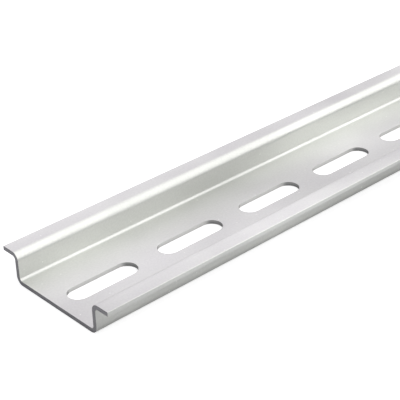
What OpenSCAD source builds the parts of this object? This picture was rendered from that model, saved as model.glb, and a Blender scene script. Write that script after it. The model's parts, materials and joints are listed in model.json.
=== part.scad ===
// Slotted top-hat rail, 35 mm wide and 7.5 mm high, for clipping switchgear and terminals to a panel.
// One steel strip, roll-formed into a shallow channel with two outward flanges and punched with
// a row of round-ended slots. The rail lies along X on its base, with its flanges up.
// The origin is the centre of the underside.

/* [Rail] */
// Length of the rail, cut square at both ends
rail_l = 1000; // [100:25:2000]
// Width over the two flanges
rail_w = 35; // [32:0.5:50]
// Height from the underside of the base to the top of the flanges
rail_h = 7.5; // [6:0.5:15]
// Width of the channel over the outsides of its webs
channel_w = 27; // [16:0.5:28]

/* [Strip] */
// Thickness of the strip
strip_t = 1; // [0.8:0.1:1.5]
// Inside radius of the four bends
bend_r = 0.8; // [0.3:0.1:1.2]
// Radius on the slit edges of the strip
edge_r = 0.1; // [0.05:0.05:0.35]

/* [Slots] */
// Length of a slot over its round ends
slot_l = 18; // [9:1:22]
// Width of a slot
slot_w = 5.2; // [4:0.1:8]
// Distance between the centres of neighbouring slots
slot_pitch = 25; // [24:1:50]

/* [Hidden] */

$fn = 96;
eps = 0.5; // how far a cutting shape runs past the face that it cuts

bend_outer_r = bend_r + strip_t;      // outside radius of a bend
web_out = channel_w / 2;              // outer face of a web, from the middle
web_in = web_out - strip_t;           // inner face of a web
base_bend = web_out - bend_outer_r;   // where the flat of the base ends and its bend begins
flange_bend = web_in + bend_outer_r;  // where the bend ends and the flat of the flange begins
flange_out = rail_w / 2;              // slit edge of a flange

slot_count = floor(rail_l / slot_pitch);
first_slot = -(slot_count - 1) / 2 * slot_pitch;

zinc = [0.84, 0.85, 0.83];

// Quarter of a bend in the strip. Its centre is the origin, and it lies right of and below it.
module bend_quarter() {
    intersection() {
        difference() {
            circle(r = bend_outer_r);
            circle(r = bend_r);
        }
        translate([0, -bend_outer_r])
            square(bend_outer_r);
    }
}

// Flat of one flange, with the radius that slitting and plating leave on its free edge.
module flange_flat() {
    rounded_from = flange_out - edge_r;
    translate([flange_bend, rail_h - strip_t])
        square([rounded_from - flange_bend, strip_t]);
    translate([rounded_from, rail_h - strip_t + edge_r])
        square([edge_r, strip_t - 2 * edge_r]);
    for (z = [rail_h - strip_t + edge_r, rail_h - edge_r])
        translate([rounded_from, z])
            circle(r = edge_r);
}

// Right half of the section: base, bend, web, bend and flange. X is across the rail and Y is up.
module half_section() {
    square([base_bend, strip_t]);
    translate([base_bend, bend_outer_r])
        bend_quarter();
    translate([web_in, bend_outer_r])
        square([strip_t, rail_h - 2 * bend_outer_r]);
    translate([flange_bend, rail_h - bend_outer_r])
        rotate(180)
            bend_quarter();
    flange_flat();
}

// The formed strip over its full length, before punching.
module formed_strip() {
    rotate([90, 0, 90])
        linear_extrude(height = rail_l, center = true) {
            half_section();
            mirror([1, 0])
                half_section();
        }
}

// Punch for one slot, standing on the middle of the base with its length along X.
module slot_punch() {
    straight_l = slot_l - slot_w;
    punch_h = strip_t + 2 * eps;
    translate([0, 0, -eps]) {
        translate([-straight_l / 2, -slot_w / 2, 0])
            cube([straight_l, slot_w, punch_h]);
        for (side = [-1, 1])
            translate([side * straight_l / 2, 0, 0])
                cylinder(d = slot_w, h = punch_h);
    }
}

// The rail: the formed strip with its row of slots.
module slotted_rail() {
    color(zinc)
        difference() {
            formed_strip();
            for (i = [0 : slot_count - 1])
                translate([first_slot + i * slot_pitch, 0, 0])
                    slot_punch();
        }
}

slotted_rail();
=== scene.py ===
"""Looks of a slotted top-hat rail: one steel strip, roll-formed, punched with slots, zinc plated and sawn to length.

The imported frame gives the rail's outer size and its row of slots. This file remodels the strip with finer bends,
eased slot edges and sawn ends, gives each kind of surface its finish, and sets the floor, the light and the camera.
"""

import json
import logging
import math
from dataclasses import dataclass
from enum import IntEnum
from typing import Any

import bmesh
import bpy
from mathutils import Matrix, Vector


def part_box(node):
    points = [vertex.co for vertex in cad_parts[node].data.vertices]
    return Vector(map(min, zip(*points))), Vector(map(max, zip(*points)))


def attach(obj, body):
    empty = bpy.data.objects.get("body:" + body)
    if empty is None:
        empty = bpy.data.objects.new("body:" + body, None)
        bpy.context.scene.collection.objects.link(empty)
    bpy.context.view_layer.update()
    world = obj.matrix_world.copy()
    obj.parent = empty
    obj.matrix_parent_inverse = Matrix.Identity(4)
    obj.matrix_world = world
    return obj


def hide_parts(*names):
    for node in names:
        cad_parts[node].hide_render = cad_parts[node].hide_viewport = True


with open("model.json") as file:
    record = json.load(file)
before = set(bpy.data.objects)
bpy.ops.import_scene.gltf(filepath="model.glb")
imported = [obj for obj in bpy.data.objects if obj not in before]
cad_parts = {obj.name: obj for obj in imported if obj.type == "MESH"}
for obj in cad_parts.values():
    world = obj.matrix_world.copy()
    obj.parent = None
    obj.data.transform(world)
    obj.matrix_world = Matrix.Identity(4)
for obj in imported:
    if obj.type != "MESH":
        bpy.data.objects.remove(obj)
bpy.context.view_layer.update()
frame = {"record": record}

LOG = logging.getLogger("slotted_rail")
MM = 0.001
TINY = 1e-4
CLOSE = 1e-3
SHARP = math.radians(60)

Point = tuple[float, float, float]
Colour = tuple[float, float, float, float]


class Surface(IntEnum):
    """The kinds of surface on the rail, in the order of its material slots."""

    PLATE = 0
    PUNCHED = 1
    SAWN = 2


class NodeSketch:
    """Short hand for filling one shader node tree."""

    def __init__(self, tree: bpy.types.NodeTree) -> None:
        """Empties the tree.

        Args:
            tree: The node tree of a material or of the world.
        """
        tree.nodes.clear()
        self.tree = tree

    def add(self, kind: str, inputs: dict[Any, Any] | None = None, **settings: Any) -> bpy.types.Node:
        """Adds a node and fills its inputs.

        Args:
            kind: The node's type name, without its ShaderNode prefix.
            inputs: Input names or numbers, each with a plain value or with the output socket to link to it.
            settings: Properties to set on the node itself.

        Returns:
            The new node.
        """
        node = self.tree.nodes.new("ShaderNode" + kind)
        for name, value in settings.items():
            setattr(node, name, value)
        for key, value in (inputs or {}).items():
            if isinstance(value, bpy.types.NodeSocket):
                self.tree.links.new(value, node.inputs[key])
            else:
                node.inputs[key].default_value = value
        return node

    def place(self, stretch: Point = (1, 1, 1), shift: Point = (0, 0, 0)) -> bpy.types.NodeSocket:
        """Object coordinates, scaled along each axis and then moved.

        Args:
            stretch: Scale along X, Y and Z; a smaller number draws a pattern out.
            shift: How far the scaled coordinates are moved, which picks another stretch of a pattern.

        Returns:
            The socket with the coordinates.
        """
        where = self.add("TexCoord").outputs["Object"]
        return self.add("Mapping", {"Vector": where, "Scale": stretch, "Location": shift}).outputs["Vector"]

    def noise(self, size_mm: float, stretch: Point = (1, 1, 1), detail: float = 3, shift: Point = (0, 0, 0)
              ) -> bpy.types.NodeSocket:
        """Noise between 0 and 1 with features of about one size.

        Args:
            size_mm: Size of a feature in millimetres, before it is stretched.
            stretch: Scale along each axis.
            detail: How many finer layers of noise are added.
            shift: Which stretch of the pattern is taken.

        Returns:
            The noise value's socket.
        """
        inputs = {"Vector": self.place(stretch, shift), "Scale": 1 / (size_mm * MM), "Detail": detail}
        return self.add("TexNoise", inputs).outputs["Fac"]

    def math(self, operation: str, *values: Any) -> bpy.types.NodeSocket:
        """Adds one step of arithmetic.

        Args:
            operation: The Math node's operation.
            values: Its inputs in order, each a number or an output socket.

        Returns:
            The result's socket.
        """
        return self.add("Math", dict(enumerate(values)), operation=operation).outputs[0]

    def remap(self, value: bpy.types.NodeSocket, source: tuple[float, float], target: tuple[float, float]
              ) -> bpy.types.NodeSocket:
        """Carries a value from one range to another, smoothly and clamped at both ends.

        Args:
            value: The socket to remap.
            source: The range that is read.
            target: The range that is given.

        Returns:
            The remapped value's socket.
        """
        inputs = {"Value": value, "From Min": source[0], "From Max": source[1],
                  "To Min": target[0], "To Max": target[1]}
        return self.add("MapRange", inputs, interpolation_type="SMOOTHSTEP").outputs["Result"]

    def blend(self, amount: bpy.types.NodeSocket, first: Any, second: Any) -> bpy.types.NodeSocket:
        """Mixes two colours.

        Args:
            amount: How much of the second colour is taken, from 0 to 1.
            first: A colour or a colour socket.
            second: A colour or a colour socket.

        Returns:
            The mixed colour's socket.
        """
        node = self.add("Mix", data_type="RGBA")
        inputs = {s.identifier: s for s in node.inputs}
        for name, value in (("Factor_Float", amount), ("A_Color", first), ("B_Color", second)):
            if isinstance(value, bpy.types.NodeSocket):
                self.tree.links.new(value, inputs[name])
            else:
                inputs[name].default_value = value
        return next(s for s in node.outputs if s.identifier == "Result_Color")

    def bump(self, height: bpy.types.NodeSocket, depth_mm: float, under: bpy.types.NodeSocket | None = None
             ) -> bpy.types.NodeSocket:
        """Turns a height into a bent normal.

        Args:
            height: Height between 0 and 1.
            depth_mm: How deep the relief is, in millimetres.
            under: The normal that this relief is laid on, if there is one.

        Returns:
            The normal's socket.
        """
        inputs = {"Height": height, "Distance": depth_mm * MM, "Strength": 1.0}
        if under:
            inputs["Normal"] = under
        return self.add("Bump", inputs).outputs["Normal"]


def new_material(name: str) -> tuple[bpy.types.Material, NodeSketch]:
    """Makes an empty node material.

    Args:
        name: The material's name.

    Returns:
        The material, and the sketch that fills its tree.
    """
    material = bpy.data.materials.new(name)
    material.use_nodes = True
    return material, NodeSketch(material.node_tree)


@dataclass(frozen=True)
class ZincPlate:
    """Zinc plating on cold-rolled strip: a satin metal with a cloudy film, fine rolling lines and a few specks."""

    dull: Colour = (0.565, 0.570, 0.556, 1)
    bright: Colour = (0.792, 0.801, 0.778, 1)
    speck: Colour = (0.90, 0.91, 0.88, 1)
    roughness: tuple[float, float] = (0.38, 0.50)
    cloud_mm: float = 60
    cloud_stretch: Point = (1, 1.8, 1.8)
    cloud_shift: Point = (2.19, -3.301, 0)
    cloud_range: tuple[float, float] = (0.26, 0.80)
    noise_range: tuple[float, float] = (0.3, 0.7)
    mottle_mm: float = 8
    mottle_share: float = 0.18
    wave_mm: float = 14
    wave_depth_mm: float = 0.03
    grain_mm: float = 0.5
    grain_share: float = 0.16
    grain_depth_mm: float = 0.0004
    line_mm: float = 0.35
    line_stretch: Point = (0.01, 1, 1)
    line_depth_mm: float = 0.0005
    speck_mm: float = 2.6
    speck_rim: tuple[float, float] = (0.09, 0.03)
    speck_strength: float = 0.7

    def material(self) -> bpy.types.Material:
        """Builds the plating.

        Returns:
            The material.
        """
        material, sketch = new_material("zinc_plate")
        cloud = sketch.noise(self.cloud_mm, self.cloud_stretch, 2, self.cloud_shift)
        mottle = sketch.noise(self.mottle_mm, (0.6, 1, 1), 4)
        grain = sketch.noise(self.grain_mm, detail=5)
        lines = sketch.noise(self.line_mm, self.line_stretch, detail=2)
        brightness = sketch.remap(cloud, self.cloud_range, (0, 1))
        for pattern, share in ((mottle, self.mottle_share), (grain, self.grain_share)):
            swing = sketch.remap(pattern, self.noise_range, (-0.5, 0.5))
            brightness = sketch.math("MULTIPLY_ADD", swing, share, brightness)
        film = sketch.blend(brightness, self.dull, self.bright)
        dots = sketch.add("TexVoronoi", {"Vector": sketch.place(), "Scale": 1 / (self.speck_mm * MM)})
        speck = sketch.remap(dots.outputs["Distance"], self.speck_rim, (0, self.speck_strength))
        waves = sketch.bump(sketch.noise(self.wave_mm, detail=1), self.wave_depth_mm)
        relief = sketch.bump(lines, self.line_depth_mm, sketch.bump(grain, self.grain_depth_mm, waves))
        metal = sketch.add("BsdfPrincipled", {
            "Base Color": sketch.blend(speck, film, self.speck),
            "Metallic": 1.0,
            "Roughness": sketch.remap(mottle, self.noise_range, self.roughness),
            "Normal": relief})
        sketch.add("OutputMaterial", {"Surface": metal.outputs["BSDF"]})
        return material


@dataclass(frozen=True)
class PunchedWall:
    """Wall of a punched slot: burnished along its straight sides, darker round its ends by painted shade where the
    wall faces along the rail, rougher below.
    """

    burnished: Colour = (0.78, 0.78, 0.765, 1)
    # Painted shade: this dark grey is blended in round the slot's ends, where the wall faces along the rail.
    end_painted_shade: Colour = (0.36, 0.36, 0.36, 1)
    roughness: tuple[float, float] = (0.62, 0.45)
    burnished_from_mm: float = 0.45
    burnished_to_mm: float = 0.6
    shade_facing_range: tuple[float, float] = (0.15, 0.7)
    score_mm: float = 0.12
    score_depth_mm: float = 0.004

    def material(self) -> bpy.types.Material:
        """Builds the slot wall.

        Returns:
            The material.
        """
        material, sketch = new_material("punched_wall")
        height = sketch.add("SeparateXYZ", {"Vector": sketch.place()}).outputs["Z"]
        facing = sketch.add("SeparateXYZ", {"Vector": sketch.add("TexCoord").outputs["Normal"]}).outputs["X"]
        # Painted shade: the more the wall faces along the rail, the more of the dark grey it is given.
        end = sketch.remap(sketch.math("ABSOLUTE", facing), self.shade_facing_range, (0, 1))
        zone = (self.burnished_from_mm * MM, self.burnished_to_mm * MM)
        scores = sketch.noise(self.score_mm, (1, 1, 0.05), detail=2)
        metal = sketch.add("BsdfPrincipled", {
            "Base Color": sketch.blend(end, self.burnished, self.end_painted_shade),
            "Metallic": 1.0,
            "Roughness": sketch.remap(height, zone, self.roughness),
            "Normal": sketch.bump(scores, self.score_depth_mm)})
        sketch.add("OutputMaterial", {"Surface": metal.outputs["BSDF"]})
        return material


@dataclass(frozen=True)
class SawnEnd:
    """Bare steel of a sawn end, dull and with fine marks of the blade; its dark grey is partly the steel's own and
    partly painted shade.
    """

    # Both greys are set darker than bare steel, partly as painted shade for the end faces.
    light: Colour = (0.30, 0.30, 0.31, 1)
    dark: Colour = (0.20, 0.20, 0.21, 1)
    roughness: tuple[float, float] = (0.42, 0.6)
    mark_mm: float = 0.16
    mark_depth_mm: float = 0.004

    def material(self) -> bpy.types.Material:
        """Builds the sawn end.

        Returns:
            The material.
        """
        material, sketch = new_material("sawn_end")
        marks = sketch.noise(self.mark_mm, (1, 0.06, 1), detail=2)
        metal = sketch.add("BsdfPrincipled", {
            "Base Color": sketch.blend(sketch.remap(marks, (0.35, 0.65), (0, 1)), self.dark, self.light),
            "Metallic": 1.0,
            "Roughness": sketch.remap(marks, (0.3, 0.7), self.roughness),
            "Normal": sketch.bump(marks, self.mark_depth_mm)})
        sketch.add("OutputMaterial", {"Surface": metal.outputs["BSDF"]})
        return material


@dataclass
class StripSection:
    """Section of the formed strip, in millimetres. Y is across the rail and Z is up."""

    width: float
    height: float
    thickness: float
    channel: float = 27.0
    inner_radius: float = 0.8
    edge_radius: float = 0.1
    bend_segments: int = 14

    @property
    def half_width(self) -> float:
        """From the middle to a flange's slit edge."""
        return self.width / 2

    @property
    def web(self) -> float:
        """From the middle to the inner face of a web."""
        return self.channel / 2 - self.thickness

    def skin(self, bm: bmesh.types.BMesh, length: float) -> bmesh.types.BMFace:
        """Makes the upper skin of a short length of strip, centred on the origin, with its bends rounded.

        Args:
            bm: The mesh to add to.
            length: Length of the piece along X.

        Returns:
            The flat face of the base.
        """
        up, floor = self.height, self.thickness
        line = [(-self.half_width, up), (-self.web, up), (-self.web, floor),
                (self.web, floor), (self.web, up), (self.half_width, up)]
        verts = [bm.verts.new((-length / 2, y, z)) for y, z in line]
        edges = [bm.edges.new(pair) for pair in zip(verts, verts[1:])]
        swept = bmesh.ops.extrude_edge_only(bm, edges=edges)["geom"]
        bmesh.ops.translate(bm, vec=(length, 0, 0), verts=[g for g in swept if isinstance(g, bmesh.types.BMVert)])
        outer_radius = self.inner_radius + self.thickness
        for level, radius in ((up, outer_radius), (floor, self.inner_radius)):
            creases = [e for e in bm.edges if not e.is_boundary
                       and all(abs(v.co.z - level) < TINY and abs(abs(v.co.y) - self.web) < TINY for v in e.verts)]
            bmesh.ops.bevel(bm, geom=creases, offset=radius, offset_type="OFFSET", affect="EDGES",
                            segments=self.bend_segments, profile=0.5, material=-1, clamp_overlap=False)
        bm.faces.ensure_lookup_table()
        return min(bm.faces, key=lambda f: f.calc_center_median().xy.length)


@dataclass
class SlotRow:
    """Row of round-ended slots, in millimetres."""

    length: float
    width: float
    pitch: float
    count: int
    land: float = 0.5
    corner_segments: int = 12

    def cut(self, bm: bmesh.types.BMesh, base: bmesh.types.BMFace, level: float) -> None:
        """Replaces the base's flat face with one that has a slot in its middle.

        Args:
            bm: The mesh that holds the face.
            base: The flat face of one pitch of the base.
            level: Height of that face.
        """
        border = base.edges[:]
        bmesh.ops.delete(bm, geom=[base], context="FACES_ONLY")
        outer_length, outer_width = self.length + 2 * self.land, self.width + 2 * self.land
        place = Matrix.Translation((0, 0, level)) @ Matrix.Diagonal((outer_length, outer_width, 1, 1))
        corners = bmesh.ops.create_grid(bm, x_segments=1, y_segments=1, size=0.5, matrix=place)["verts"]
        rounded = bmesh.ops.bevel(bm, geom=corners, offset=outer_width / 2, offset_type="OFFSET", affect="VERTICES",
                                  segments=self.corner_segments, profile=0.5, material=-1, clamp_overlap=False)
        bmesh.ops.remove_doubles(bm, verts=rounded["verts"], dist=TINY)
        slot = min(bm.faces, key=lambda f: f.calc_center_median().xy.length)
        bmesh.ops.inset_individual(bm, faces=[slot], thickness=self.land, use_even_offset=True)
        rim = [e for e in bm.edges if e.is_boundary
               and max(abs(v.co.y) for v in e.verts) < outer_width / 2 + TINY
               and max(abs(v.co.x) for v in e.verts) < outer_length / 2 + TINY]
        bmesh.ops.delete(bm, geom=[slot], context="FACES_ONLY")
        bmesh.ops.triangle_fill(bm, use_beauty=True, edges=border + rim)


@dataclass
class SlottedRail:
    """The whole rail: its section, its slots, and the way that its edges are left."""

    section: StripSection
    slots: SlotRow
    slot_ease: float = 0.05
    end_ease: float = 0.05

    @classmethod
    def from_frame(cls, record: dict[str, Any], node: str) -> "SlottedRail":
        """Reads the rail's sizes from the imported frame.

        Args:
            record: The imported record.
            node: Name of the rail's solid.

        Returns:
            The rail, with every size in millimetres.
        """
        low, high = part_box(node)
        size = (high - low) / MM
        mounts = {m["name"]: m for m in record["mounts"]}
        pair = mounts["inner_slots"]["dims"]
        section = StripSection(size.y, size.z, mounts["channel_floor"]["pos_m"][2] / MM)
        pitch = pair["spacing_x_mm"]
        return cls(section, SlotRow(pair["slot_length_mm"], 2 * pair["hole_r_mm"], pitch, round(size.x / pitch)))

    @property
    def half_length(self) -> float:
        """From the middle of the rail to an end."""
        return self.slots.pitch * self.slots.count / 2

    def build(self) -> bmesh.types.BMesh:
        """Models the strip, from one pitch of its upper skin to the closed and eased solid.

        Returns:
            The finished mesh, in millimetres.
        """
        bm = bmesh.new()
        base = self.section.skin(bm, self.slots.pitch)
        self.slots.cut(bm, base, self.section.thickness)
        self.repeat(bm)
        self.thicken(bm)
        self.ease(bm)
        self.sort_surfaces(bm)
        return bm

    def repeat(self, bm: bmesh.types.BMesh) -> None:
        """Lays the one pitch end to end along the rail and joins the lengths.

        Args:
            bm: The mesh, which holds one pitch of the skin.
        """
        step = (self.slots.pitch, 0, 0)
        bmesh.ops.spin(bm, geom=bm.verts[:] + bm.edges[:] + bm.faces[:], cent=(0, 0, 0), axis=(0, 0, 1), dvec=step,
                       angle=0, steps=self.slots.count - 1, use_duplicate=True)
        bmesh.ops.translate(bm, vec=(self.slots.pitch / 2 - self.half_length, 0, 0), verts=bm.verts)
        bmesh.ops.remove_doubles(bm, verts=bm.verts, dist=CLOSE)

    def thicken(self, bm: bmesh.types.BMesh) -> None:
        """Gives the skin its thickness downwards, which also makes the slot walls, the slit edges and the ends.

        Args:
            bm: The mesh, which holds the whole skin.
        """
        bmesh.ops.recalc_face_normals(bm, faces=bm.faces)
        if sum(f.normal.z for f in bm.faces) < 0:
            bmesh.ops.reverse_faces(bm, faces=bm.faces)
        bmesh.ops.solidify(bm, geom=bm.faces[:], thickness=self.section.thickness)
        bmesh.ops.recalc_face_normals(bm, faces=bm.faces)

    @staticmethod
    def sharp_edges(bm: bmesh.types.BMesh) -> list[bmesh.types.BMEdge]:
        """Finds the edges where two surfaces meet sharply.

        Args:
            bm: The mesh to search.

        Returns:
            The sharp edges.
        """
        return [e for e in bm.edges if e.calc_face_angle(0) > SHARP]

    def at_end(self, edge: bmesh.types.BMEdge) -> bool:
        """Whether an edge lies in a sawn end."""
        return all(abs(abs(v.co.x) - self.half_length) < CLOSE for v in edge.verts)

    def at_slit(self, edge: bmesh.types.BMEdge) -> bool:
        """Whether an edge lies on the slit side of a flange."""
        return all(abs(abs(v.co.y) - self.section.half_width) < CLOSE for v in edge.verts)

    def ease(self, bm: bmesh.types.BMesh) -> None:
        """Rounds the slit edges of the flanges, the rims of the slots and the sawn ends, each by its own radius.

        Args:
            bm: The mesh, which holds the solid strip.
        """
        slit = [e for e in self.sharp_edges(bm) if self.at_slit(e) and not self.at_end(e)]
        self.round_off(bm, slit, self.section.edge_radius, 4)
        slot = [e for e in self.sharp_edges(bm) if not self.at_end(e) and not self.at_slit(e)]
        self.round_off(bm, slot, self.slot_ease, 3)
        self.round_off(bm, [e for e in self.sharp_edges(bm) if self.at_end(e)], self.end_ease, 2)

    @staticmethod
    def round_off(bm: bmesh.types.BMesh, edges: list[bmesh.types.BMEdge], radius: float, segments: int) -> None:
        """Rounds some edges.

        Args:
            bm: The mesh that holds the edges.
            edges: The edges to round.
            radius: Radius of the round.
            segments: Number of faces across it.
        """
        bmesh.ops.bevel(bm, geom=edges, offset=radius, offset_type="OFFSET", affect="EDGES", segments=segments,
                        profile=0.5, material=-1, clamp_overlap=False)

    def sort_surfaces(self, bm: bmesh.types.BMesh) -> None:
        """Gives each face its kind of surface, and shades it smoothly.

        Args:
            bm: The finished mesh.
        """
        for face in bm.faces:
            centre = face.calc_center_median()
            face.smooth = True
            if abs(centre.x) > self.half_length - self.end_ease:
                face.material_index = Surface.SAWN
            elif abs(centre.y) < self.slots.width and abs(face.normal.z) < 0.5:
                face.material_index = Surface.PUNCHED
            else:
                face.material_index = Surface.PLATE

    def piece(self, name: str) -> bpy.types.Object:
        """Makes the rail's object, dressed in its finishes.

        Args:
            name: The object's name.

        Returns:
            The object, at the origin, with its mesh in metres.
        """
        bm = self.build()
        bmesh.ops.scale(bm, vec=(MM, MM, MM), verts=bm.verts)
        mesh = bpy.data.meshes.new(name)
        bm.to_mesh(mesh)
        bm.free()
        for finish in (ZincPlate(), PunchedWall(), SawnEnd()):
            mesh.materials.append(finish.material())
        rail = bpy.data.objects.new(name, mesh)
        bpy.context.scene.collection.objects.link(rail)
        even = rail.modifiers.new("even_shading", "WEIGHTED_NORMAL")
        even.keep_sharp = True
        return rail


@dataclass
class Studio:
    """Pale floor under a white surround, with one long soft light over the right of the rail and a dimmer left.

    Each range of the light is read against one axis of the direction that a ray looks in.
    """

    floor_size: float = 12.0
    floor_colour: Colour = (0.62, 0.62, 0.63, 1)
    floor_lift: float = 0.66
    floor_sheen: float = 0.17
    contact_mm: float = 3.0
    surround: Colour = (1.0, 1.0, 0.985, 1)
    behind: Colour = (1.03, 0.985, 1.06, 1)
    back_range: tuple[float, float] = (0.3, 0.5)
    soft_light: float = 0.85
    right_range: tuple[float, float] = (0.22, 0.42)
    front_range: tuple[float, float] = (0.45, 0.08)
    left: float = 0.6
    left_range: tuple[float, float] = (0.0, -0.5)

    def floor(self) -> bpy.types.Object:
        """Makes the floor that the rail lies on.

        Returns:
            The floor.
        """
        bm = bmesh.new()
        bmesh.ops.create_grid(bm, x_segments=1, y_segments=1, size=self.floor_size / 2)
        mesh = bpy.data.meshes.new("floor")
        bm.to_mesh(mesh)
        bm.free()
        mesh.materials.append(self.floor_material())
        floor = bpy.data.objects.new("floor", mesh)
        bpy.context.scene.collection.objects.link(floor)
        return floor

    def floor_material(self) -> bpy.types.Material:
        """Makes a pale matt floor, lifted to white where it is looked at, with the rail's shadow left on it.

        Mirrored rays see it lifted too, though less, and not close to the rail, where ambient occlusion fades the
        lift as a painted contact shadow.

        Returns:
            The material.
        """
        material, sketch = new_material("pale_floor")
        path = sketch.add("LightPath").outputs
        seen = sketch.math("MULTIPLY", path["Is Camera Ray"], self.floor_lift)
        mirrored = sketch.math("MAXIMUM", path["Is Glossy Ray"], path["Is Transmission Ray"])
        # Painted shadow: ambient occlusion takes away the lift that mirrored rays see close to the rail.
        open_sky = sketch.add("AmbientOcclusion", {"Distance": self.contact_mm * MM}, samples=8).outputs["AO"]
        lift = sketch.math("MULTIPLY_ADD", mirrored, sketch.math("MULTIPLY", open_sky, self.floor_sheen), seen)
        matt = sketch.add("BsdfDiffuse", {"Color": self.floor_colour}).outputs["BSDF"]
        glow = sketch.add("Emission", {"Strength": lift}).outputs["Emission"]
        sketch.add("OutputMaterial", {"Surface": sketch.add("AddShader", {0: matt, 1: glow}).outputs[0]})
        return material

    def world(self) -> None:
        """Lights the scene from all round, with a soft light from overhead right down to the front right."""
        world = bpy.data.worlds.new("studio")
        bpy.context.scene.world = world
        world.use_nodes = True
        sketch = NodeSketch(world.node_tree)
        towards = sketch.add("SeparateXYZ", {"Vector": sketch.add("TexCoord").outputs["Generated"]}).outputs
        on_right = sketch.remap(towards["X"], self.right_range, (0, 1))
        on_left = sketch.remap(towards["X"], self.left_range, (0, 1))
        in_front = sketch.remap(towards["Y"], self.front_range, (0, 1))
        at_back = sketch.remap(towards["Y"], self.back_range, (0, 1))
        unseen = sketch.math("SUBTRACT", 1.0, sketch.add("LightPath").outputs["Is Camera Ray"])
        soft = sketch.math("MULTIPLY", sketch.math("MULTIPLY", on_right, in_front), unseen)
        plain = sketch.math("MULTIPLY_ADD", sketch.math("MULTIPLY", on_left, unseen), self.left - 1, 1.0)
        strength = sketch.math("MULTIPLY_ADD", soft, self.soft_light, plain)
        colour = sketch.blend(sketch.math("MULTIPLY", at_back, unseen), self.surround, self.behind)
        light = sketch.add("Background", {"Color": colour, "Strength": strength})
        sketch.add("OutputWorld", {"Surface": light.outputs["Background"]})


@dataclass
class Viewpoint:
    """Camera close above the rail's near end, looking along it. Lengths in metres, angles in degrees."""

    from_end: Point = (-0.1204, -0.1804, 0.1470)
    azimuth: float = -41.77
    elevation: float = 29.70
    roll: float = 1.93
    lens_mm: float = 113.4

    def camera(self, end: Vector) -> bpy.types.Object:
        """Makes the scene's camera.

        Args:
            end: Middle of the underside at the rail's near end.

        Returns:
            The camera.
        """
        data = bpy.data.cameras.new("camera")
        data.lens = self.lens_mm
        data.sensor_width = 36
        data.clip_start, data.clip_end = 0.01, 50
        camera = bpy.data.objects.new("camera", data)
        turn = Matrix.Rotation(math.radians(self.azimuth), 4, "Z")
        tilt = Matrix.Rotation(math.radians(90 - self.elevation), 4, "X")
        lean = Matrix.Rotation(math.radians(-self.roll), 4, "Z")
        camera.matrix_world = Matrix.Translation(end + Vector(self.from_end)) @ turn @ tilt @ lean
        bpy.context.scene.collection.objects.link(camera)
        bpy.context.scene.camera = camera
        return camera


def main() -> None:
    """Builds the rail, its floor, its light and its camera."""
    logging.basicConfig(level=logging.INFO, format="%(name)s: %(message)s")
    low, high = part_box("slotted_rail")
    rail = SlottedRail.from_frame(frame["record"], "slotted_rail")
    strip = rail.piece("rail_strip")
    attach(strip, "root")
    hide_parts("slotted_rail")
    triangles = sum(len(p.vertices) - 2 for p in strip.data.polygons)
    LOG.info("rail_strip: %d slots, %d triangles", rail.slots.count, triangles)
    studio = Studio()
    studio.floor()
    studio.world()
    Viewpoint().camera(Vector((low.x, (low.y + high.y) / 2, low.z)))
    bpy.context.scene.view_settings.view_transform = "Standard"


if __name__ == "__main__":
    main()
